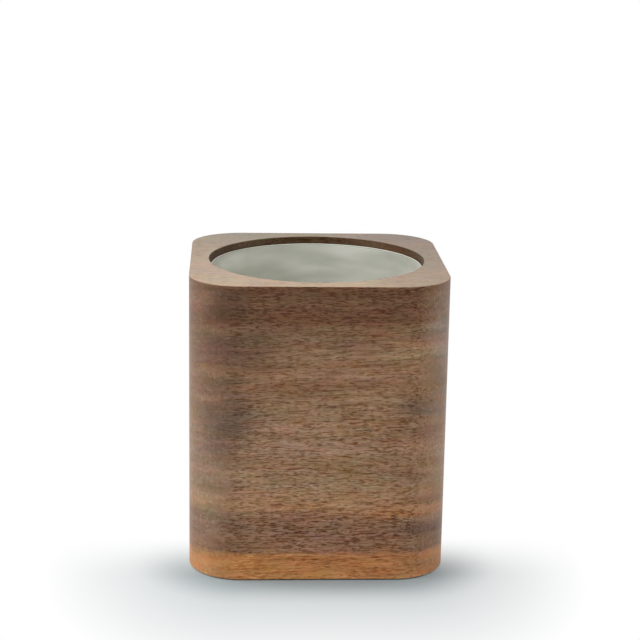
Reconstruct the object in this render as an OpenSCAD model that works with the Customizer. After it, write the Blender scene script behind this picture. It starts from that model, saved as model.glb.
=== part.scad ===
// Pen cup: a bored walnut block with a drawn steel liner and a cork foot pad.
// Millimetres, +Z up, front face towards -Y, origin in the middle of the underside.

/* [Block] */
// Side of the square block, across the flats
block_w = 86; // [80:1:100]
// Height of the block, underside to top face
block_h = 100; // [80:1:130]
// Radius of the four upright corners
corner_r = 17.5; // [12:0.5:24]
// Radius of the easing round the top and bottom outlines
outline_ease_r = 0.3; // [0.2:0.1:1.5]
// Diameter of the bore that takes the liner
bore_d = 73.4; // [60:0.2:74]
// Radius of the easing at the mouth of the bore
mouth_ease_r = 0.3; // [0.2:0.1:1]
// Thickness of wood left under the bore
floor_t = 8; // [6:0.5:16]

/* [Liner] */
// Gap all round between the liner and the bore
liner_gap = 0.4; // [0.2:0.1:0.8]
// Thickness of the drawn sheet
liner_t = 0.6; // [0.4:0.1:1]
// Drop from the top face to the liner's rim
rim_drop = 2.4; // [0.5:0.1:6]
// Inside radius where the wall turns into the floor
draw_r = 4; // [2:0.5:8]

/* [Liner tape] */
// Diameter of the double-sided foam tape under the liner
tape_d = 50; // [20:1:54]
// Thickness of the tape
tape_t = 0.8; // [0.5:0.1:1.5]

/* [Foot pad] */
// Diameter of the cork pad
pad_d = 60; // [40:1:70]
// Thickness of the cork
pad_t = 2; // [1.5:0.1:3]
// Amount by which the pad stands proud of the block
pad_proud = 0.3; // [0.2:0.1:1]
// Gap all round between the pad and its recess
pad_gap = 0.3; // [0.1:0.1:0.6]
// Thickness of the pad's adhesive film
film_t = 0.2; // [0.1:0.05:0.3]

/* [Hidden] */
$fn = 96;
// Extra length by which a cutter runs past the face that it opens
overcut = 1;
block_z = pad_proud;
top_z = block_z + block_h;
bore_r = bore_d / 2;
bore_floor_z = block_z + floor_t;
corner_xy = block_w / 2 - corner_r;
recess_r = pad_d / 2 + pad_gap;
recess_top_z = pad_t + film_t;
liner_r = bore_r - liner_gap;
liner_z = bore_floor_z + tape_t;
rim_z = top_z - rim_drop;

// Half section of an upright edge: a strip with its two outer corners eased
module eased_strip(width, height, ease_r) {
    square([width - ease_r, height]);
    translate([0, ease_r]) square([width, height - 2 * ease_r]);
    for (z = [ease_r, height - ease_r])
        translate([width - ease_r, z]) circle(ease_r);
}

// Quarter post that rounds one upright corner, with the eased arrises carried round it
module corner_post() {
    rotate_extrude(angle = 90) eased_strip(corner_r, block_h, outline_ease_r);
}

// Straight stretch of one side, from the middle of the block out to its flat face
module side_slab() {
    rotate([90, 0, 90])
        translate([0, 0, -corner_xy])
            linear_extrude(2 * corner_xy)
                translate([corner_xy, 0]) eased_strip(corner_r, block_h, outline_ease_r);
}

// Solid block before boring: a square core, four side slabs and four corner posts
module eased_block() {
    translate([-corner_xy, -corner_xy, 0]) cube([2 * corner_xy, 2 * corner_xy, block_h]);
    for (turn = [0:90:270]) rotate(turn) {
        side_slab();
        translate([corner_xy, corner_xy, 0]) corner_post();
    }
}

// Half section of the bore, opening out in a small rounded arris at the mouth
module bore_section() {
    translate([0, bore_floor_z]) square([bore_r, top_z - bore_floor_z + overcut]);
    difference() {
        translate([bore_r, top_z - mouth_ease_r]) square([mouth_ease_r, mouth_ease_r + overcut]);
        translate([bore_r + mouth_ease_r, top_z - mouth_ease_r]) circle(mouth_ease_r);
    }
}

module walnut_block() {
    color("#7a5a44") difference() {
        translate([0, 0, block_z]) eased_block();
        rotate_extrude() bore_section();
        translate([0, 0, block_z - overcut])
            cylinder(r = recess_r, h = recess_top_z - block_z + overcut);
    }
}

// Half section of a straight-walled cup with a rounded foot
module cup_section(radius, foot_r, height) {
    square([radius - foot_r, height]);
    translate([0, foot_r]) square([radius, height - foot_r]);
    translate([radius - foot_r, foot_r]) circle(foot_r);
}

// Half section of the drawn wall: outer cup less inner cup, with the trimmed edge rounded over
module liner_section() {
    edge_r = liner_t / 2;
    wall_h = rim_z - liner_z - edge_r;
    difference() {
        cup_section(liner_r, draw_r + liner_t, wall_h);
        translate([0, liner_t]) cup_section(liner_r - liner_t, draw_r, wall_h);
    }
    translate([liner_r - edge_r, wall_h]) circle(edge_r);
}

module steel_liner() {
    color("#b4b7ae") translate([0, 0, liner_z]) rotate_extrude() liner_section();
}

module liner_tape() {
    color("#e8e8e4") translate([0, 0, bore_floor_z]) cylinder(d = tape_d, h = tape_t);
}

module cork_pad() {
    color("#c49a6c") cylinder(d = pad_d, h = pad_t);
}

module pad_film() {
    color("#d9c9a8") translate([0, 0, pad_t]) cylinder(d = pad_d, h = film_t);
}

walnut_block();
steel_liner();
liner_tape();
cork_pad();
pad_film();
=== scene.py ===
import math

import bmesh
import bpy
from mathutils import Matrix, Vector


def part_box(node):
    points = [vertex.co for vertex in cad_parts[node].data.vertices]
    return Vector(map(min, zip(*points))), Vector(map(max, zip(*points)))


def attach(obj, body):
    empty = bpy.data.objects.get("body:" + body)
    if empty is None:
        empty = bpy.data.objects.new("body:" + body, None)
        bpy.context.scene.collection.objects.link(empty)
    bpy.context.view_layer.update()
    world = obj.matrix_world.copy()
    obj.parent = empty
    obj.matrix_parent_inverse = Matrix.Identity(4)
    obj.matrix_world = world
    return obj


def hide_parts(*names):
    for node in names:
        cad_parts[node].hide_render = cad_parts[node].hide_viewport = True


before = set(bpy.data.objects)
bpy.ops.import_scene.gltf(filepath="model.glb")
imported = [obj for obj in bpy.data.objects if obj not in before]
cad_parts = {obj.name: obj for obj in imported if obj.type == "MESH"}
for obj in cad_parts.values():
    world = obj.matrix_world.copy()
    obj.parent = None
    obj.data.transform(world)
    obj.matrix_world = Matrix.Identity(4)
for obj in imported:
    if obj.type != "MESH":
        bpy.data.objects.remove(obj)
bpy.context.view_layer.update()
print("frame loaded:", sorted(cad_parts))

millimetres = 1000.0  # patterns are laid out in mm, objects are in metres
tiny = 1e-5  # metres, for telling one level or radius from another


# small helpers

def toLinear(hexColour):
    # sRGB hex to the linear RGBA that shader sockets take
    channels = [int(hexColour[i:i + 2], 16) / 255 for i in (1, 3, 5)]
    return [c / 12.92 if c <= 0.04045 else ((c + 0.055) / 1.055) ** 2.4 for c in channels] + [1.0]


def plug(tree, node, links):
    # a socket takes a value, another node's socket, or another node, which means its first output
    for socket, value in links.items():
        if isinstance(value, bpy.types.Node):
            value = value.outputs[0]
        if isinstance(value, bpy.types.NodeSocket):
            tree.links.new(value, node.inputs[socket])
        else:
            node.inputs[socket].default_value = value


def addNode(tree, kind, links=None, stops=None, **settings):
    # one shader node: settings are its own properties, links fill its sockets, stops are a ramp's colours
    node = tree.nodes.new("ShaderNode" + kind)
    for name, value in settings.items():
        setattr(node, name, value)
    plug(tree, node, links or {})
    if stops:
        elements = node.color_ramp.elements
        while len(elements) > 1:
            elements.remove(elements[-1])
        for i, (place, colour) in enumerate(stops):
            stop = elements[0] if i == 0 else elements.new(place)
            stop.position = place
            stop.color = colour
    return node


def newMaterial(name):
    material = bpy.data.materials.new(name)
    material.use_nodes = True
    tree = material.node_tree
    return material, tree, tree.nodes["Principled BSDF"]


def selectWhere(piece, kind, test):
    # in edit mode: select the edges or faces that pass the test, and nothing else
    bpy.ops.mesh.select_mode(type=kind)
    bpy.ops.mesh.select_all(action="DESELECT")
    mesh = bmesh.from_edit_mesh(piece.data)
    for part in mesh.edges if kind == "EDGE" else mesh.faces:
        if test(part):
            part.select_set(True)
    bmesh.update_edit_mesh(piece.data)


def atLevel(part, z):
    return all(abs(v.co.z - z) < tiny for v in part.verts)


def atRadius(part, radius):
    return all(abs(v.co.xy.length - radius) < tiny for v in part.verts)


def startPiece(name):
    # the primitive just added becomes the piece, with its place in its mesh
    piece = bpy.context.object
    piece.name = piece.data.name = name
    bpy.ops.object.transform_apply(location=True, rotation=True, scale=True)
    bpy.ops.object.mode_set(mode="EDIT")
    return piece


def finishPiece(piece, material, node, smoothDegrees=40):
    # out of edit mode, flat faces kept flat beside rounded ones, dressed and tied to the frame
    bpy.ops.mesh.select_all(action="SELECT")
    bpy.ops.mesh.normals_make_consistent(inside=False)
    bpy.ops.object.mode_set(mode="OBJECT")
    bpy.ops.object.shade_smooth_by_angle(angle=math.radians(smoothDegrees))
    bpy.ops.object.modifier_add(type="WEIGHTED_NORMAL")
    piece.modifiers[-1].keep_sharp = True
    bpy.ops.object.modifier_apply(modifier=piece.modifiers[-1].name)
    piece.data.materials.clear()
    piece.data.materials.append(material)
    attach(piece, "root")
    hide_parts(node)
    bpy.ops.object.select_all(action="DESELECT")


# black walnut, sanded and oiled: brown layers that lie level, dark open pores drawn out along the grain,
# smoother and greyer where the grain is cut across, pale orange sapwood at the foot, a low satin sheen
# some tones below also paint light and shade: the top, the darker corners, the bore's wall and two pale edge
# highlights among the streaks
walnut = {
    "pith": (0.0, 15.0, 420.0),  # mm, heart of the log, a line along X above the cup
    "frontRise": 4.0,  # mm that a ring lies higher at the front face than straight under the pith
    "drift": [  # mm of a wave, mm of swing: slow bends of the layers, then short wander that tips the pores
        ((90, 50, 50), (0, 3, 6)),
        ((13, 6, 5), (0, 0.9, 1.3)),
    ],
    "layers": [  # mm up the front face, tone of the growth layer there, how strong its pores are
        (0, "#bd814e", 0.3),
        (7.5, "#b57a48", 0.4),
        (10, "#8e684d", 0.9),
        (15, "#88664f", 1.0),
        (22, "#8a6950", 1.0),
        (25, "#9b7552", 0.6),
        (28, "#9b7556", 0.6),
        (32, "#917257", 0.75),
        (45, "#92745b", 0.75),
        (60, "#88694f", 0.7),
        (70, "#88684f", 0.5),
        (81, "#81614a", 0.5),
        (85.5, "#765740", 0.7),
        (87.5, "#674831", 1.0),
        (100, "#684933", 1.0),
    ],
    "feather": ((5, 0.8, 0.7), 2.2),  # mm of the streaks that break the edge of a layer, mm of their reach
    "streaks": [  # mm along the front, through the block and up it, reach, change of red, green and blue
        ((-23, -43, 77), (17, 50, 10), (-0.36, -0.36, -0.37)),  # smoke
        ((-32, -43, 56), (12, 50, 18), (-0.29, -0.27, -0.22)),
        ((-33, -43, 93), (7, 50, 7), (-0.14, -0.10, -0.14)),
        ((-34, -43, 80), (10, 50, 5), (-0.08, -0.18, -0.06)),
        ((-26, -43, 59), (11, 50, 13), (-0.29, -0.28, -0.22)),
        ((33, -43, 52), (14, 50, 5), (-0.28, -0.30, -0.22)),
        ((31, -43, 60), (11, 50, 6), (-0.38, -0.40, -0.34)),
        ((28, -43, 37), (16, 50, 5), (-0.16, -0.20, -0.16)),
        ((33, -43, 28), (16, 50, 4), (-0.18, -0.22, -0.16)),
        ((33, -43, 17), (15, 50, 4), (-0.37, -0.35, -0.32)),
        ((-34, -43, 75), (18, 50, 1.6), (-0.20, -0.24, -0.24)),  # dark lines
        ((-33, -43, 69), (20, 50, 2.4), (-0.28, -0.28, -0.26)),
        ((-36, -43, 45), (10, 50, 4), (-0.16, -0.18, -0.16)),
        ((9, -43, 81), (8, 50, 2), (-0.16, -0.14, 0.06)),
        ((31, -43, 77), (17, 50, 12), (0.20, 0.24, 0.20)),  # paler wood
        ((2, -43, 46), (36, 50, 17), (0.11, 0.12, 0.17)),
        # painted highlights: the far edges of the uprights near the top, paler and bluer as lit edges
        ((42, -43, 90), (13, 50, 22), (0.70, 1.18, 1.85)),
        ((-43, -43, 95), (13, 50, 13), (0.68, 0.85, 1.08)),
        # paler wood
        ((-24, -43, 95), (11, 50, 9), (0.02, 0.06, 0.06)),
        ((-27, -43, 34), (14, 50, 8), (0.31, 0.27, 0.28)),
        ((-32, -43, 27), (15, 50, 3), (0.36, 0.26, 0.22)),
        ((26, -43, 22.5), (22, 50, 3), (0.32, 0.22, 0.0)),  # amber
        ((-32, -43, 48.5), (14, 50, 1.6), (0.20, 0.10, 0.12)),
        ((17, -43, 84), (10, 50, 2), (0.16, -0.06, -0.08)),  # red
        ((-34, -43, 87), (14, 50, 2.5), (0.12, -0.10, -0.04)),
        ((-30, -43, 79), (14, 50, 1.8), (0.22, 0.06, 0.02)),
        ((20, -43, 4), (60, 50, 16), (-0.18, -0.14, -0.06)),  # duller sapwood
        ((34, -43, 6), (18, 50, 7), (-0.11, -0.03, 0.18)),
        ((-42, -43, 8), (13, 50, 5), (-0.14, -0.10, -0.04)),
        ((-34, -43, 5), (24, 50, 6), (0.18, 0.24, 0.34)),  # paler sapwood
    ],
    "tints": [  # size, swing of red, green and blue each by itself: hues that drift through the brown
        ((50, 30, 7), (0.30, 0.16, 0.30)),
        ((9, 6, 2.2), (0.36, 0.20, 0.36)),
    ],
    "topFace": ("#89735d", "#635546"),  # front and back of the top, one layer cut flat: paler than that layer on the front, partly as painted light from above, and darker to the back as painted shade
    "topShade": ((8, 30), (0.75, 0.74, 0.74, 1.0)),  # mm rightwards where its painted shade starts and is darkest
    "topSlope": (0.5, 0.95),  # upward slope where the eased edge starts to be top and is all top
    "topCalm": 0.6,  # share of the figure that is lost on the top
    "topPores": 0.35,  # share of the pores that stays open there
    "endGrain": (0.575, 0.595, 0.64, 1.0),  # end grain drinks more oil, darker and greyer; toward the rounded corners this is partly painted shade where they turn from the light
    "darkens": [(-20, -36), (27, 48)],  # mm along the grain where that starts and is full, left and right
    "frayed": ((60, 40, 5), 0.45),  # mm of the patches that fray that change, and how far
    "fades": [(-0.1, -0.5), (0.3, 0.75)],  # sideways slopes where the figure starts to fade and is lost
    "ragged": ((20, 14, 2.6), 0.8),  # the patches that fray this one
    "flatEnds": ((0.75, 0.97), 0.6),  # slope where the crisp dots of cut pores come back, and how far
    "figure": [  # size, detail, stretch of the noise, shade at its ends, share on long grain and on end grain
        ((110, 60, 5), 4, (0.3, 0.7), (0.84, 1.16), (1.0, 0.8)),  # broad bands
        ((150, 90, 2.4), 3, (0.3, 0.7), (0.8, 1.2), (0.4, 0.8)),  # growth rings
        ((16, 12, 9), 2, (0.3, 0.7), (0.86, 1.14), (0.3, 1.0)),  # soft clouds
        ((16, 1.0, 0.7), 2, (0.3, 0.7), (0.80, 1.20), (1.0, 0.2)),  # streaks
        ((2.4, 0.6, 0.55), 1, (0.3, 0.7), (0.87, 1.13), (1.0, 0.15)),  # fibres, coarser than real ones
        ((2.2, 0.6, 0.5), 1, (0.53, 0.66), (1.0, 0.55), (1.0, 0.1)),  # dark lines
        ((6, 0.7, 0.5), 1, (0.55, 0.68), (1.0, 0.60), (1.0, 0.1)),  # long dark lines
        ((1.1, 1.1, 1.1), 3, (0.3, 0.7), (0.86, 1.14), (0.45, 1.0)),  # fine grit
        ((0.8, 0.8, 0.8), 0, (0.62, 0.75), (1.0, 1.25), (0.0, 1.0)),  # pale specks
    ],
    "figureGrit": 0.55,  # how much of each noise is fine detail
    "figureByLayer": (0.75, 1.2),  # strength where a layer has no pores and where it is full of them
    "shadeHue": (0.8, 1.05, 1.35),  # dark marks are redder than the wood, so green and blue swing further
    "pore": "#3a1e11",
    "pores": [  # mm of the cell that holds one, reach of the pore as a share of it, depth of its colour
        ((2.5, 0.8, 0.50), 0.37, 0.8),  # wider than real pores so that they show
        ((4.4, 0.9, 0.55), 0.33, 0.8),
    ],
    "poreSizes": (0.35, 1.25),  # smallest and largest, as shares of that reach
    "poreLoss": 0.5,  # what end grain takes off the reach
    "poreEdge": 0.1,  # softness of a pore's outline
    "clusterSize": (14, 7, 4),  # mm along the grain, across it and up through the layers, as all sizes here
    "clusters": ((0.35, 0.65), (-0.12, 0.06)),  # stretch of their noise, what it adds to a pore's reach
    "boredWall": (0.50, 0.57, 0.60, 1.0),  # the wall of the bore is left off the cutter, darker by this: partly its rawer wood and partly painted shade inside the bore
    "boredEdge": (0.05, 0.3),  # mm outside the bore where that starts to end and has ended
    "boredSlope": (-0.7, -0.3),  # downward slope where it starts and is full, so that the underside has none
    "boredRoughness": 1.0,
    "roughness": 0.45,
    "poreRoughness": 0.25,  # more than the wood's
    "specular": 0.2,  # oil sinks in, so less shine than a varnish
    "sheen": (0.05, 0.35),  # weight and roughness: fine raised fibres catch light at the edges
    "relief": 0.3,  # of the figure, where a pore's is 1
    "bump": (0.3, 0.0001),  # strength, metres
}


def grainPlace(tree, mm):
    # the layers bend a little
    wavy = mm
    for wave, swing in walnut["drift"]:
        at = addNode(tree, "VectorMath", {0: mm, 1: wave}, operation="DIVIDE")
        drift = addNode(tree, "TexNoise", {"Vector": at, "Scale": 1.0, "Detail": 1.0})
        swung = addNode(
            tree, "VectorMath", {0: drift.outputs["Color"], 1: swing, 2: [-s / 2 for s in swing]},
            operation="MULTIPLY_ADD",
        )
        wavy = addNode(tree, "VectorMath", {0: wavy, 1: swung}, operation="ADD")

    # distance from the pith gives the growth layer, written as a height up the front face
    fromPith = addNode(tree, "VectorMath", {0: wavy, 1: walnut["pith"]}, operation="SUBTRACT")
    acrossGrain = addNode(tree, "VectorMath", {0: fromPith, 1: (0, 1, 1)}, operation="MULTIPLY")
    pithRadius = addNode(tree, "VectorMath", {0: acrossGrain}, operation="LENGTH")
    frontRadius = walnut["pith"][2] + walnut["frontRise"]
    layer = addNode(tree, "Math", {0: frontRadius, 1: pithRadius.outputs["Value"]}, operation="SUBTRACT")

    # coordinates that follow the layers: along the grain, across it, up through the layers
    wavyXyz = addNode(tree, "SeparateXYZ", {0: wavy})
    grainAt = addNode(tree, "CombineXYZ", {"X": wavyXyz.outputs["X"], "Y": wavyXyz.outputs["Y"], "Z": layer})
    return wavyXyz, layer, grainAt


def layerTone(tree, wavyXyz, layer, grainAt):
    # the tone of the layer, its edges broken into streaks
    size, reach = walnut["feather"]
    at = addNode(tree, "VectorMath", {0: grainAt, 1: size}, operation="DIVIDE")
    feather = addNode(tree, "TexNoise", {"Vector": at, "Scale": 1.0, "Detail": 2.0})
    feather = addNode(tree, "MapRange", {"Value": feather, "To Min": -reach, "To Max": reach})
    feathered = addNode(tree, "Math", {0: layer, 1: feather}, operation="ADD")
    topLayer = walnut["layers"][-1][0]
    layerShare = addNode(tree, "Math", {0: feathered, 1: topLayer}, operation="DIVIDE")
    tone = addNode(
        tree, "ValToRGB", {"Fac": layerShare},
        stops=[(up / topLayer, toLinear(hexTone)[:3] + [pores]) for up, hexTone, pores in walnut["layers"]],
    )
    poreShare = tone.outputs["Alpha"]

    # streaks of smoke, pale wood and amber, and two painted edge highlights, placed one by one
    streakAt = addNode(
        tree, "CombineXYZ", {"X": wavyXyz.outputs["X"], "Y": wavyXyz.outputs["Y"], "Z": feathered}
    )
    colour = tone
    for middle, reach, change in walnut["streaks"]:
        away = addNode(tree, "VectorMath", {0: streakAt, 1: middle}, operation="SUBTRACT")
        away = addNode(tree, "VectorMath", {0: away, 1: reach}, operation="DIVIDE")
        away = addNode(tree, "VectorMath", {0: away}, operation="LENGTH")
        inside = addNode(
            tree, "MapRange", {"Value": away.outputs["Value"], "To Min": 1.0, "To Max": 0.0},
            interpolation_type="SMOOTHSTEP",
        )
        changed = addNode(tree, "VectorMath", {0: inside, 1: change, 2: (1, 1, 1)}, operation="MULTIPLY_ADD")
        colour = addNode(tree, "VectorMath", {0: colour, 1: changed}, operation="MULTIPLY")
    return colour, poreShare


def grainFacing(tree, normal, wavyXyz, grainAt):
    # which way the surface faces: up, or square across the grain, with a ragged change between
    facing = addNode(tree, "SeparateXYZ", {0: normal})
    begin, end = walnut["topSlope"]
    upward = addNode(tree, "MapRange", {"Value": facing.outputs["Z"], "From Min": begin, "From Max": end})
    changes = []
    for (size, reach), value, spans in (
        (walnut["ragged"], facing.outputs["X"], walnut["fades"]),
        (walnut["frayed"], wavyXyz.outputs["X"], walnut["darkens"]),
    ):
        at = addNode(tree, "VectorMath", {0: grainAt, 1: size}, operation="DIVIDE")
        fray = addNode(tree, "TexNoise", {"Vector": at, "Scale": 1.0, "Detail": 2.0})
        fray = addNode(tree, "MapRange", {"Value": fray, "To Min": 1 - reach, "To Max": 1 + reach})
        frayed = addNode(tree, "Math", {0: value, 1: fray}, operation="MULTIPLY")
        change = 0.0
        for begin, end in spans:
            part = addNode(
                tree, "MapRange", {"Value": frayed, "From Min": begin, "From Max": end},
                interpolation_type="SMOOTHSTEP",
            )
            change = addNode(tree, "Math", {0: change, 1: part}, operation="ADD")
        changes.append(change)
    endGrain, darkens = changes

    # level faces don't darken
    level = addNode(tree, "Math", {0: facing.outputs["Z"]}, operation="ABSOLUTE")
    upright = addNode(tree, "Math", {0: 1.0, 1: level}, operation="SUBTRACT")
    darkens = addNode(tree, "Math", {0: darkens, 1: upright}, operation="MULTIPLY")

    # flat ends show their cut pores again
    (begin, end), reach = walnut["flatEnds"]
    square = addNode(tree, "Math", {0: facing.outputs["X"]}, operation="ABSOLUTE")
    square = addNode(
        tree, "MapRange",
        {"Value": square, "From Min": begin, "From Max": end, "To Min": 1.0, "To Max": 1 - reach},
    )
    endGrain = addNode(tree, "Math", {0: endGrain, 1: square}, operation="MULTIPLY")
    return facing.outputs["Z"], upward, endGrain, darkens


def grainFigure(tree, grainAt, endGrain, upward, poreShare):
    # how far the figure lightens or darkens each place
    shade = 1.0
    for size, detail, stretch, shades, shares in walnut["figure"]:
        at = addNode(tree, "VectorMath", {0: grainAt, 1: size}, operation="DIVIDE")
        noise = addNode(
            tree, "TexNoise",
            {"Vector": at, "Scale": 1.0, "Detail": detail, "Roughness": walnut["figureGrit"]},
        )
        swing = addNode(
            tree, "MapRange",
            {"Value": noise, "From Min": stretch[0], "From Max": stretch[1],
             "To Min": shades[0] - 1, "To Max": shades[1] - 1},
        )
        share = addNode(tree, "MapRange", {"Value": endGrain, "To Min": shares[0], "To Max": shares[1]})
        part = addNode(tree, "Math", {0: swing, 1: share, 2: 1.0}, operation="MULTIPLY_ADD")
        shade = addNode(tree, "Math", {0: shade, 1: part}, operation="MULTIPLY")
    least, most = walnut["figureByLayer"]
    byLayer = addNode(tree, "MapRange", {"Value": poreShare, "To Min": least, "To Max": most})
    calm = addNode(tree, "MapRange", {"Value": upward, "To Min": 1.0, "To Max": 1 - walnut["topCalm"]})
    strength = addNode(tree, "Math", {0: byLayer, 1: calm}, operation="MULTIPLY")
    swing = addNode(tree, "Math", {0: shade, 1: 1.0}, operation="SUBTRACT")
    return addNode(tree, "Math", {0: swing, 1: strength}, operation="MULTIPLY")


def grainPores(tree, grainAt, endGrain, upward, poreShare):
    # pores gather in clusters, are lost on end grain and are filled on the top
    at = addNode(tree, "VectorMath", {0: grainAt, 1: walnut["clusterSize"]}, operation="DIVIDE")
    cluster = addNode(tree, "TexNoise", {"Vector": at, "Scale": 1.0, "Detail": 1.0})
    (begin, end), (loss, gain) = walnut["clusters"]
    gather = addNode(
        tree, "MapRange",
        {"Value": cluster, "From Min": begin, "From Max": end, "To Min": loss, "To Max": gain},
    )
    smallest, largest = walnut["poreSizes"]
    pores = 0.0
    for size, reach, depth in walnut["pores"]:
        at = addNode(tree, "VectorMath", {0: grainAt, 1: size}, operation="DIVIDE")
        cell = addNode(tree, "TexVoronoi", {"Vector": at, "Scale": 1.0})
        chance = addNode(tree, "SeparateXYZ", {0: cell.outputs["Color"]})
        limit = addNode(
            tree, "MapRange", {"Value": chance, "To Min": reach * smallest, "To Max": reach * largest}
        )
        limit = addNode(
            tree, "Math", {0: endGrain, 1: -walnut["poreLoss"], 2: limit}, operation="MULTIPLY_ADD"
        )
        limit = addNode(tree, "Math", {0: limit, 1: gather}, operation="ADD")
        inside = addNode(tree, "Math", {0: limit, 1: cell.outputs["Distance"]}, operation="SUBTRACT")
        mask = addNode(
            tree, "MapRange", {"Value": inside, "From Max": walnut["poreEdge"], "To Max": depth},
            interpolation_type="SMOOTHSTEP",
        )
        pores = addNode(tree, "Math", {0: pores, 1: mask}, operation="MAXIMUM")
    leftOpen = addNode(tree, "MapRange", {"Value": upward, "To Min": 1.0, "To Max": walnut["topPores"]})
    pores = addNode(tree, "Math", {0: pores, 1: leftOpen}, operation="MULTIPLY")
    return addNode(tree, "Math", {0: pores, 1: poreShare}, operation="MULTIPLY")


def boredPart(tree, mm, slope, boreRadius):
    # 1 on the wall of the bore, 0 on the sanded outside
    fromAxis = addNode(tree, "VectorMath", {0: mm, 1: (1, 1, 0)}, operation="MULTIPLY")
    fromAxis = addNode(tree, "VectorMath", {0: fromAxis}, operation="LENGTH")
    begin, end = (boreRadius * millimetres + edge for edge in walnut["boredEdge"])
    near = addNode(
        tree, "MapRange",
        {"Value": fromAxis.outputs["Value"], "From Min": begin, "From Max": end,
         "To Min": 1.0, "To Max": 0.0},
    )
    begin, end = walnut["boredSlope"]
    notBelow = addNode(tree, "MapRange", {"Value": slope, "From Min": begin, "From Max": end})
    return addNode(tree, "Math", {0: near, 1: notBelow}, operation="MULTIPLY")


def oiledBlackWalnut(boreRadius):
    material, tree, skin = newMaterial("OiledBlackWalnut")
    place = addNode(tree, "TexCoord")
    mm = addNode(tree, "VectorMath", {0: place.outputs["Object"], "Scale": millimetres}, operation="SCALE")
    wavyXyz, layer, grainAt = grainPlace(tree, mm)
    colour, poreShare = layerTone(tree, wavyXyz, layer, grainAt)
    slope, upward, endGrain, darkens = grainFacing(tree, place.outputs["Normal"], wavyXyz, grainAt)
    figure = grainFigure(tree, grainAt, endGrain, upward, poreShare)
    pores = grainPores(tree, grainAt, endGrain, upward, poreShare)
    bored = boredPart(tree, mm, slope, boreRadius)

    # the top is one layer, paler in part as painted light from above, with painted shade darkening it to the
    # back and to the right
    front, back = (corner.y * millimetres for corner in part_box("walnut_block"))
    backward = addNode(tree, "MapRange", {"Value": wavyXyz.outputs["Y"], "From Min": front, "From Max": back})
    frontTone, backTone = (toLinear(hexColour) for hexColour in walnut["topFace"])
    topTone = addNode(tree, "MixRGB", {"Fac": backward, "Color1": frontTone, "Color2": backTone})
    (begin, end), darker = walnut["topShade"]
    rightward = addNode(
        tree, "MapRange", {"Value": wavyXyz.outputs["X"], "From Min": begin, "From Max": end},
        interpolation_type="SMOOTHSTEP",
    )
    topTone = addNode(
        tree, "MixRGB", {"Fac": rightward, "Color1": topTone, "Color2": darker}, blend_type="MULTIPLY"
    )
    colour = addNode(tree, "MixRGB", {"Fac": upward, "Color1": colour, "Color2": topTone})

    # hues drift, ends darken (partly painted shade at the corners), the figure shades, pores and the bored
    # wall (darker partly as painted shade) come last
    for size, reach in walnut["tints"]:
        at = addNode(tree, "VectorMath", {0: grainAt, 1: size}, operation="DIVIDE")
        hues = addNode(tree, "TexNoise", {"Vector": at, "Scale": 1.0, "Detail": 1.0})
        tint = addNode(
            tree, "VectorMath", {0: hues.outputs["Color"], 1: reach, 2: [1 - r / 2 for r in reach]},
            operation="MULTIPLY_ADD",
        )
        colour = addNode(tree, "VectorMath", {0: colour, 1: tint}, operation="MULTIPLY")
    colour = addNode(
        tree, "MixRGB", {"Fac": darkens, "Color1": colour, "Color2": walnut["endGrain"]},
        blend_type="MULTIPLY",
    )
    shade = addNode(
        tree, "VectorMath", {0: figure, 1: walnut["shadeHue"], 2: (1, 1, 1)}, operation="MULTIPLY_ADD"
    )
    colour = addNode(tree, "VectorMath", {0: colour, 1: shade}, operation="MULTIPLY")
    colour = addNode(tree, "MixRGB", {"Fac": pores, "Color1": colour, "Color2": toLinear(walnut["pore"])})
    colour = addNode(
        tree, "MixRGB", {"Fac": bored, "Color1": colour, "Color2": walnut["boredWall"]},
        blend_type="MULTIPLY",
    )

    # pores break the sheen and dip a little
    smooth = walnut["roughness"]
    poreRough = smooth + walnut["poreRoughness"]
    rough = addNode(tree, "MapRange", {"Value": pores, "To Min": smooth, "To Max": poreRough})
    rough = addNode(tree, "MapRange", {"Value": bored, "To Min": rough, "To Max": walnut["boredRoughness"]})
    relief = addNode(tree, "Math", {0: figure, 1: walnut["relief"]}, operation="MULTIPLY")
    relief = addNode(tree, "Math", {0: relief, 1: pores}, operation="SUBTRACT")
    strength, depth = walnut["bump"]
    bump = addNode(tree, "Bump", {"Height": relief, "Strength": strength, "Distance": depth})
    plug(tree, skin, {
        "Base Color": colour,
        "Roughness": rough,
        "Normal": bump,
        "Specular IOR Level": walnut["specular"],
        "Sheen Weight": walnut["sheen"][0],
        "Sheen Roughness": walnut["sheen"][1],
    })
    return material


# stainless sheet, deep drawn and rubbed round: a soft dull grey mirror, cloudy, with faint marks that run
# round it, on a floor that keeps the flat grey of the mill with painted shade over it, under a trimmed rim in
# painted shade
liner = {
    "gap": 0.0004,  # metres, to the bore
    "sheet": 0.0006,  # metres
    "drawRadius": 0.0046,  # metres, outside, where the wall turns into the floor
    "sides": 160,
    "footSteps": 12,
    "rimRound": 0.00025,  # metres
    "rimSteps": 4,
    "steel": ("#d2d3c9", "#f1f1ea"),  # the rubbed patches and the clear ones
    "cloudSize": (26, 26, 7),  # mm
    "clouds": (0.3, 0.7),  # stretch of the noise that parts them
    "millFinishAndShade": "#8b8c84",  # the floor isn't rubbed, so it stays duller, and it is darkened further as painted shade
    "linerFloorSlope": (0.2, 0.9),  # upward slope where that starts and is full
    "millRoughness": 0.2,  # more than the wall's
    # a trimmed edge, a little darker also as painted shade
    "trimmedEdgeAndShade": "#b4b4ab",
    "darkRim": (-0.5, -0.2),  # mm from the top of the rim where the darker edge, trimmed and in painted shade, starts and is full
    "markSize": (24, 24, 0.5),  # mm, coarser than real rubbing marks so that they show
    "roughness": 0.55,
    "grit": ((0.6, 1.4), 0.1),  # stretch of the marks and clouds together, how far they swing the roughness
    "bump": (0.15, 0.00005),  # strength, metres
}


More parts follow.
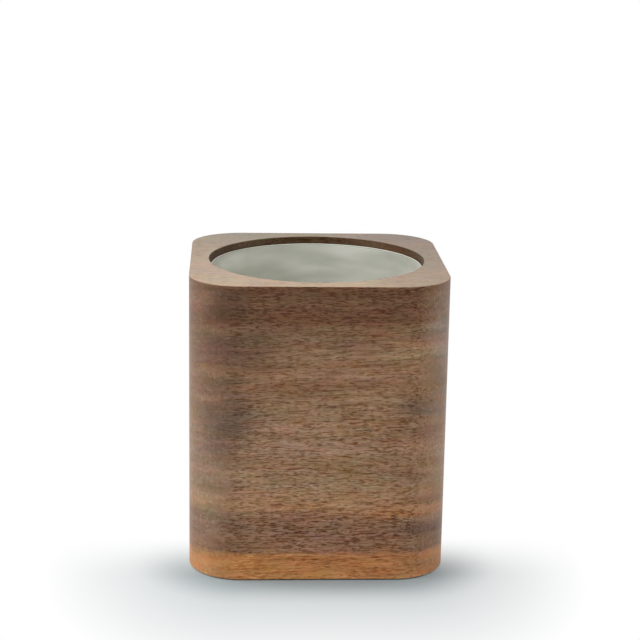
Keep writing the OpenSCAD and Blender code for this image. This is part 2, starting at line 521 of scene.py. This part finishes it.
def drawnStainless(rimTop):
    material, tree, skin = newMaterial("DrawnStainlessSheet")
    place = addNode(tree, "TexCoord")
    mm = addNode(tree, "VectorMath", {0: place.outputs["Object"], "Scale": millimetres}, operation="SCALE")
    facing = addNode(tree, "SeparateXYZ", {0: place.outputs["Normal"]})
    begin, end = liner["linerFloorSlope"]
    level = addNode(tree, "MapRange", {"Value": facing.outputs["Z"], "From Min": begin, "From Max": end})

    # rubbing marks, and patches that were rubbed more
    markAt = addNode(tree, "VectorMath", {0: mm, 1: liner["markSize"]}, operation="DIVIDE")
    mark = addNode(tree, "TexNoise", {"Vector": markAt, "Scale": 1.0, "Detail": 3.0})
    cloudAt = addNode(tree, "VectorMath", {0: mm, 1: liner["cloudSize"]}, operation="DIVIDE")
    rubbed = addNode(tree, "TexNoise", {"Vector": cloudAt, "Scale": 1.0, "Detail": 2.0})
    grit = addNode(tree, "Math", {0: mark, 1: rubbed}, operation="ADD")
    (begin, end), swing = liner["grit"]
    rough = addNode(
        tree, "MapRange",
        {"Value": grit, "From Min": begin, "From Max": end,
         "To Min": liner["roughness"] - swing, "To Max": liner["roughness"] + swing},
    )
    rough = addNode(tree, "Math", {0: level, 1: liner["millRoughness"], 2: rough}, operation="MULTIPLY_ADD")

    # the floor is duller than the wall with painted shade over it, and the trimmed edge a little darker,
    # partly as painted shade
    begin, end = liner["clouds"]
    cloud = addNode(tree, "MapRange", {"Value": rubbed, "From Min": begin, "From Max": end})
    dull, clear = (toLinear(hexColour) for hexColour in liner["steel"])
    steel = addNode(tree, "MixRGB", {"Fac": cloud, "Color1": dull, "Color2": clear})
    steel = addNode(tree, "MixRGB", {"Fac": level, "Color1": steel, "Color2": toLinear(liner["millFinishAndShade"])})
    height = addNode(tree, "SeparateXYZ", {0: mm})
    begin, end = (rimTop * millimetres + drop for drop in liner["darkRim"])
    edge = addNode(tree, "MapRange", {"Value": height.outputs["Z"], "From Min": begin, "From Max": end})
    steel = addNode(tree, "MixRGB", {"Fac": edge, "Color1": steel, "Color2": toLinear(liner["trimmedEdgeAndShade"])})
    strength, depth = liner["bump"]
    bump = addNode(tree, "Bump", {"Height": mark, "Strength": strength, "Distance": depth})
    plug(tree, skin, {"Base Color": steel, "Roughness": rough, "Normal": bump, "Metallic": 1.0})
    return material


# agglomerated cork, pressed and sanded: tan granules in many tones, dark crumbs of bark, fine seams between
cork = {
    "granuleTones": [  # chance, tone
        (0.0, "#8a5c33"),
        (0.2, "#b98a55"),
        (0.5, "#cfa571"),
        (0.75, "#c1925d"),
        (1.0, "#d9b583"),
    ],
    "granuleSize": 2.2,  # mm
    "torn": (1.1, 1.6),  # mm of the notches in a granule's outline, mm of swing
    "bark": "#4a2e1a",
    "barkSize": 3.1,  # mm between crumbs
    "barkShare": 0.3,  # share of those places that hold one
    "barkReach": (0.3, 0.18),  # of that size, from where a crumb fades in to where it is full
    "seam": "#8f6439",
    "seamWidth": 0.2,  # mm
    "grainSize": 0.35,  # mm, coarser than real cork cells so that they show
    "grain": ((0.3, 0.7), (0.82, 1.14)),  # stretch of the noise that shades, shade at its ends
    "roughness": 0.88,
    "bump": (0.4, 0.0002),  # strength, metres
    "chamfer": 0.0002,  # metres
    "chamferSteps": 2,
    "sides": 128,
}


def agglomeratedCork():
    material, tree, skin = newMaterial("AgglomeratedCork")
    place = addNode(tree, "TexCoord")
    mm = addNode(tree, "VectorMath", {0: place.outputs["Object"], "Scale": millimetres}, operation="SCALE")

    # granules are torn, so their outlines wander
    size, reach = cork["torn"]
    torn = addNode(tree, "TexNoise", {"Vector": mm, "Scale": 1 / size, "Detail": 2.0})
    torn = addNode(
        tree, "VectorMath", {0: torn.outputs["Color"], 1: [reach] * 3, 2: mm}, operation="MULTIPLY_ADD"
    )
    granule = addNode(tree, "TexVoronoi", {"Vector": torn, "Scale": 1 / cork["granuleSize"]})
    chance = addNode(tree, "SeparateXYZ", {0: granule.outputs["Color"]})
    tone = addNode(
        tree, "ValToRGB", {"Fac": chance},
        stops=[(at, toLinear(hexColour)) for at, hexColour in cork["granuleTones"]],
    )

    # cells within a granule
    grain = addNode(tree, "TexNoise", {"Vector": mm, "Scale": 1 / cork["grainSize"], "Detail": 2.0})
    (begin, end), (darkest, palest) = cork["grain"]
    shade = addNode(
        tree, "MapRange",
        {"Value": grain, "From Min": begin, "From Max": end, "To Min": darkest, "To Max": palest},
    )
    colour = addNode(tree, "VectorMath", {0: tone, "Scale": shade}, operation="SCALE")

    # seams
    edge = addNode(
        tree, "TexVoronoi", {"Vector": torn, "Scale": 1 / cork["granuleSize"]}, feature="DISTANCE_TO_EDGE"
    )
    width = cork["seamWidth"] / cork["granuleSize"]
    seam = addNode(tree, "MapRange", {"Value": edge, "From Max": width, "To Min": 1.0, "To Max": 0.0})
    colour = addNode(tree, "MixRGB", {"Fac": seam, "Color1": colour, "Color2": toLinear(cork["seam"])})

    # crumbs of bark
    crumb = addNode(tree, "TexVoronoi", {"Vector": torn, "Scale": 1 / cork["barkSize"]})
    chance = addNode(tree, "SeparateXYZ", {0: crumb.outputs["Color"]})
    held = addNode(tree, "Math", {0: chance, 1: cork["barkShare"]}, operation="LESS_THAN")
    begin, end = cork["barkReach"]
    near = addNode(tree, "MapRange", {"Value": crumb, "From Min": begin, "From Max": end})
    bark = addNode(tree, "Math", {0: held, 1: near}, operation="MULTIPLY")
    colour = addNode(tree, "MixRGB", {"Fac": bark, "Color1": colour, "Color2": toLinear(cork["bark"])})

    relief = addNode(tree, "Math", {0: grain, 1: seam}, operation="SUBTRACT")
    strength, depth = cork["bump"]
    bump = addNode(tree, "Bump", {"Height": relief, "Strength": strength, "Distance": depth})
    plug(tree, skin, {"Base Color": colour, "Roughness": cork["roughness"], "Normal": bump})
    return material


# closed-cell foam tape: chalky white, pricked all over with fine cells
tape = {
    "foam": "#e6e6e1",
    "cell": "#c9c9c2",
    "cellSize": 0.5,  # mm, coarser than real foam so that it shows
    "cellWall": (0.2, 0.6),  # of that size, from the middle of a cell to where its wall is full
    "roughness": 0.9,
    "bump": (0.4, 0.0001),  # strength, metres
}


def closedCellFoam():
    material, tree, skin = newMaterial("ClosedCellFoamTape")
    place = addNode(tree, "TexCoord")
    cellScale = millimetres / tape["cellSize"]
    cells = addNode(tree, "TexVoronoi", {"Vector": place.outputs["Object"], "Scale": cellScale})
    begin, end = tape["cellWall"]
    wall = addNode(tree, "MapRange", {"Value": cells, "From Min": begin, "From Max": end})
    cellTone, foamTone = (toLinear(tape[k]) for k in ("cell", "foam"))
    colour = addNode(tree, "MixRGB", {"Fac": wall, "Color1": cellTone, "Color2": foamTone})
    strength, depth = tape["bump"]
    bump = addNode(tree, "Bump", {"Height": wall, "Strength": strength, "Distance": depth})
    plug(tree, skin, {"Base Color": colour, "Roughness": tape["roughness"], "Normal": bump})
    return material


# acrylic adhesive film: clear amber, a little streaky where it was rolled on
film = {
    "thin": "#dccba6",
    "thick": "#c4a873",
    "streakSize": (30, 2, 2),  # mm
    "roughness": (0.2, 0.45),  # where it is thin and where it is thick
    "ior": 1.47,
}


def rolledAdhesive():
    material, tree, skin = newMaterial("RolledAcrylicAdhesive")
    place = addNode(tree, "TexCoord")
    mm = addNode(tree, "VectorMath", {0: place.outputs["Object"], "Scale": millimetres}, operation="SCALE")
    at = addNode(tree, "VectorMath", {0: mm, 1: film["streakSize"]}, operation="DIVIDE")
    streak = addNode(tree, "TexNoise", {"Vector": at, "Scale": 1.0, "Detail": 3.0})
    thin, thick = (toLinear(film[k]) for k in ("thin", "thick"))
    colour = addNode(tree, "MixRGB", {"Fac": streak, "Color1": thin, "Color2": thick})
    smooth, dull = film["roughness"]
    rough = addNode(tree, "MapRange", {"Value": streak, "To Min": smooth, "To Max": dull})
    plug(tree, skin, {"Base Color": colour, "Roughness": rough, "IOR": film["ior"]})
    return material


# the block: a cube with rounded uprights, bored from the top and let in for the pad
block = {
    "cornerRadius": 0.0175,  # metres, as all lengths here
    "cornerSteps": 32,
    "outlineArris": 0.0003,
    "mouthArris": 0.0003,
    "arrisSteps": 4,
    "arrisDegrees": 60,  # a sharper turn than this is an arris
    "padGap": 0.0003,
    "bridgeLift": 0.001,  # a bridge between level loops can cross over, so one is lifted for it
}


def makeBlock():
    low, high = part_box("walnut_block")
    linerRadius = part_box("steel_liner")[1].x
    boreRadius = linerRadius + liner["gap"]
    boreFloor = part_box("liner_tape")[0].z
    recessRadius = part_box("cork_pad")[1].x + block["padGap"]
    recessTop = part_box("pad_film")[1].z
    loopCount = 4 * (block["cornerSteps"] + 1)
    halfStep = math.pi / loopCount

    bpy.ops.object.select_all(action="DESELECT")
    bpy.ops.mesh.primitive_cube_add(size=1, location=(low + high) / 2, scale=high - low)
    piece = startPiece("walnutBlock")
    selectWhere(piece, "EDGE", lambda e: not atLevel(e, low.z) and not atLevel(e, high.z))
    bpy.ops.mesh.bevel(offset=block["cornerRadius"], segments=block["cornerSteps"], affect="EDGES")

    for level, radius, depth in ((high.z, boreRadius, boreFloor), (low.z, recessRadius, recessTop)):
        # swap the end face for a ring of faces round a circle, then sink the circle and close it
        selectWhere(piece, "FACE", lambda f: atLevel(f, level))
        bpy.ops.mesh.delete(type="ONLY_FACE")
        lifted = level + block["bridgeLift"]
        bpy.ops.mesh.primitive_circle_add(
            vertices=loopCount, radius=radius, location=(0, 0, lifted), rotation=(0, 0, halfStep)
        )
        selectWhere(piece, "EDGE", lambda e: atLevel(e, level) or atLevel(e, lifted))
        bpy.ops.mesh.bridge_edge_loops()
        selectWhere(piece, "EDGE", lambda e: atLevel(e, lifted))
        bpy.ops.transform.translate(value=(0, 0, level - lifted))
        bpy.ops.mesh.extrude_edges_move(TRANSFORM_OT_translate={"value": (0, 0, depth - level)})
        bpy.ops.mesh.edge_face_add()

    # ease the arrises: outlines first, then the mouth
    def onOutline(edge):
        turns = edge.calc_face_angle(0) > math.radians(block["arrisDegrees"])
        return turns and all(v.co.xy.length > boreRadius + block["bridgeLift"] for v in edge.verts)

    selectWhere(piece, "EDGE", onOutline)
    bpy.ops.mesh.bevel(offset=block["outlineArris"], segments=block["arrisSteps"], affect="EDGES")
    selectWhere(piece, "EDGE", lambda e: atLevel(e, high.z) and atRadius(e, boreRadius))
    bpy.ops.mesh.bevel(offset=block["mouthArris"], segments=block["arrisSteps"], affect="EDGES")
    finishPiece(piece, oiledBlackWalnut(boreRadius), "walnut_block")
    return piece


def makeLiner():
    low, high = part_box("steel_liner")
    bpy.ops.object.select_all(action="DESELECT")
    bpy.ops.mesh.primitive_cylinder_add(
        vertices=liner["sides"], radius=high.x, depth=high.z - low.z, location=(low + high) / 2
    )
    piece = startPiece("steelLiner")
    selectWhere(piece, "FACE", lambda f: atLevel(f, high.z))
    bpy.ops.mesh.delete(type="FACE")
    selectWhere(piece, "EDGE", lambda e: atLevel(e, low.z))
    bpy.ops.mesh.bevel(offset=liner["drawRadius"], segments=liner["footSteps"], affect="EDGES")

    # the sheet gets its thickness inwards
    bpy.ops.object.mode_set(mode="OBJECT")
    bpy.ops.object.modifier_add(type="SOLIDIFY")
    wall = piece.modifiers[-1]
    wall.thickness = liner["sheet"]
    wall.offset = -1
    wall.use_even_offset = True
    bpy.ops.object.modifier_apply(modifier=wall.name)
    bpy.ops.object.mode_set(mode="EDIT")

    # both edges of the rim are rounded over
    rimRadii = (high.x, high.x - liner["sheet"])
    selectWhere(piece, "EDGE", lambda e: atLevel(e, high.z) and any(atRadius(e, r) for r in rimRadii))
    bpy.ops.mesh.bevel(offset=liner["rimRound"], segments=liner["rimSteps"], affect="EDGES")
    finishPiece(piece, drawnStainless(high.z), "steel_liner")
    return piece


def makePad():
    low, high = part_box("cork_pad")
    bpy.ops.object.select_all(action="DESELECT")
    bpy.ops.mesh.primitive_cylinder_add(
        vertices=cork["sides"], radius=high.x, depth=high.z - low.z, location=(low + high) / 2
    )
    piece = startPiece("corkPad")
    selectWhere(piece, "EDGE", lambda e: atLevel(e, low.z))
    bpy.ops.mesh.bevel(offset=cork["chamfer"], segments=cork["chamferSteps"], affect="EDGES")
    finishPiece(piece, agglomeratedCork(), "cork_pad")
    return piece


print("walnut block:", len(makeBlock().data.polygons), "faces")
print("steel liner:", len(makeLiner().data.polygons), "faces")
print("cork pad:", len(makePad().data.polygons), "faces")

# the two layers of adhesive keep their solids
for node, material in (("liner_tape", closedCellFoam()), ("pad_film", rolledAdhesive())):
    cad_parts[node].material_slots[0].material = material
print("foam tape and film dressed")


# the studio: grey paper under the cup, which keeps its shadow there and is seen as white further out, so the
# reach of the shadow is painted by distance from the foot
studio = {
    # grey, seen only near the cup, where it sets the tone of the painted shadow
    "paper": "#858d8f",
    "size": 6.0,  # metres, here and below
    "contact": (0.021, 0.37),  # width of the darkest part of the shadow, its share of the whole
    "shadowShape": (1, 0.7, 1),  # longer to the front than to the sides
    "shadowReach": (0.016, 0.066),  # from the middle of a corner, where white starts and is full
    "whiteBehind": (-0.042, -0.002),  # front to back, where the shadow starts to be lost and has gone
    "skyStrength": 0.5,
}


def seenDirectly(tree):
    # 1 for what the camera sees, also mirrored or through glass, and 0 for the light that falls on the cup
    ray = addNode(tree, "LightPath")
    seen = 0.0
    for kind in ("Is Camera Ray", "Is Glossy Ray", "Is Transmission Ray"):
        seen = addNode(tree, "Math", {0: seen, 1: ray.outputs[kind]}, operation="ADD", use_clamp=True)
    return seen


def makeFloor():
    bpy.ops.object.select_all(action="DESELECT")
    bpy.ops.mesh.primitive_plane_add(size=studio["size"])
    floor = bpy.context.object
    floor.name = "studioFloor"
    material, tree, skin = newMaterial("MattGreyPaper")
    plug(tree, skin, {"Base Color": toLinear(studio["paper"]), "Roughness": 1.0, "Specular IOR Level": 0.0})
    place = addNode(tree, "TexCoord").outputs["Object"]

    # how far the paper lies from the foot of the cup, a square with round corners
    radius = block["cornerRadius"]
    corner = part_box("walnut_block")[1].x - radius
    fromFoot = addNode(tree, "VectorMath", {0: place}, operation="ABSOLUTE")
    fromFoot = addNode(tree, "VectorMath", {0: fromFoot, 1: (corner, corner, 0)}, operation="SUBTRACT")
    outside = addNode(tree, "VectorMath", {0: fromFoot, 1: (0, 0, 0)}, operation="MAXIMUM")
    fromFoot = addNode(tree, "VectorMath", {0: outside}, operation="LENGTH")

    # painted shadow over the real one: the dark of the contact, then the slow fall of the shadow, and none of
    # it behind the front edge
    width, share = studio["contact"]
    contact = addNode(
        tree, "MapRange",
        {"Value": fromFoot.outputs["Value"], "From Min": radius, "From Max": radius + width,
         "To Min": share, "To Max": 0.0},
        interpolation_type="SMOOTHSTEP",
    )
    away = addNode(tree, "VectorMath", {0: outside, 1: studio["shadowShape"]}, operation="MULTIPLY")
    away = addNode(tree, "VectorMath", {0: away}, operation="LENGTH")
    begin, end = studio["shadowReach"]
    shaded = addNode(
        tree, "MapRange",
        {"Value": away.outputs["Value"], "From Min": begin, "From Max": end,
         "To Min": 1 - share, "To Max": 0.0},
    )
    shaded = addNode(tree, "Math", {0: shaded, 1: contact}, operation="ADD")
    depth = addNode(tree, "SeparateXYZ", {0: place})
    begin, end = studio["whiteBehind"]
    before = addNode(
        tree, "MapRange",
        {"Value": depth.outputs["Y"], "From Min": begin, "From Max": end, "To Min": 1.0, "To Max": 0.0},
        interpolation_type="SMOOTHSTEP",
    )
    shaded = addNode(tree, "Math", {0: shaded, 1: before}, operation="MULTIPLY")

    # white elsewhere, but only to the eye
    fade = addNode(tree, "Math", {0: 1.0, 1: shaded}, operation="SUBTRACT")
    amount = addNode(tree, "Math", {0: fade, 1: seenDirectly(tree)}, operation="MULTIPLY")
    white = addNode(tree, "Emission", {"Color": (1, 1, 1, 1), "Strength": 1.0})
    mix = addNode(tree, "MixShader", {0: amount, 1: skin, 2: white})
    plug(tree, tree.nodes["Material Output"], {"Surface": mix})
    floor.data.materials.append(material)


def makeSky():
    world = bpy.data.worlds.new("WhiteStudio")
    bpy.context.scene.world = world
    world.use_nodes = True
    tree = world.node_tree
    strength = addNode(
        tree, "MapRange", {"Value": seenDirectly(tree), "To Min": studio["skyStrength"], "To Max": 1.0}
    )
    plug(tree, tree.nodes["Background"], {"Color": (1, 1, 1, 1), "Strength": strength})


softboxes = {  # place and aim in metres, size, watts
    "topBox": ((-0.4, 0.05, 0.95), (0, 0, 0.08), 1.2, 14.5),
    "leftBox": ((-0.95, 0.1, 0.2), (0, 0, 0.06), 0.6, 13.6),
    "rightBox": ((0.95, 0.2, 0.3), (0, 0, 0.06), 1.6, 17.2),
    "frontBox": ((0.2, -1.3, 0.45), (0, 0, 0.05), 1.0, 6.5),
}


def makeLights():
    for name, (place, aim, size, watts) in softboxes.items():
        bpy.ops.object.light_add(type="AREA", location=place)
        lamp = bpy.context.object
        lamp.name = name
        lamp.data.size = size
        lamp.data.energy = watts
        lamp.visible_glossy = name == "topBox"  # the liner mirrors this one, and the rest only light
        lamp.rotation_mode = "QUATERNION"
        lamp.rotation_quaternion = (Vector(aim) - Vector(place)).to_track_quat("-Z", "Y")


# the camera stands a little left of the cup and above it, tipped down and a touch turned
camera = {
    "place": (-0.0296, -0.5903, 0.2289),  # metres
    "turnDeg": -3.02,
    "tipDeg": 14.28,
    "rollDeg": 0.975,
    "lensMm": 99.3,
    "sensorMm": 36,
}


def makeCamera():
    bpy.ops.object.camera_add()
    eye = bpy.context.object
    eye.data.sensor_width = camera["sensorMm"]
    eye.data.lens = camera["lensMm"]
    turn, tip, roll = (math.radians(camera[k]) for k in ("turnDeg", "tipDeg", "rollDeg"))
    aim = Matrix.Rotation(turn, 4, "Z") @ Matrix.Rotation(math.pi / 2 - tip, 4, "X")
    aim = aim @ Matrix.Rotation(roll, 4, "Z")
    eye.matrix_world = Matrix.Translation(camera["place"]) @ aim
    bpy.context.scene.camera = eye


makeFloor()
makeSky()
makeLights()
makeCamera()
bpy.context.scene.view_settings.view_transform = "Standard"
print("studio ready")
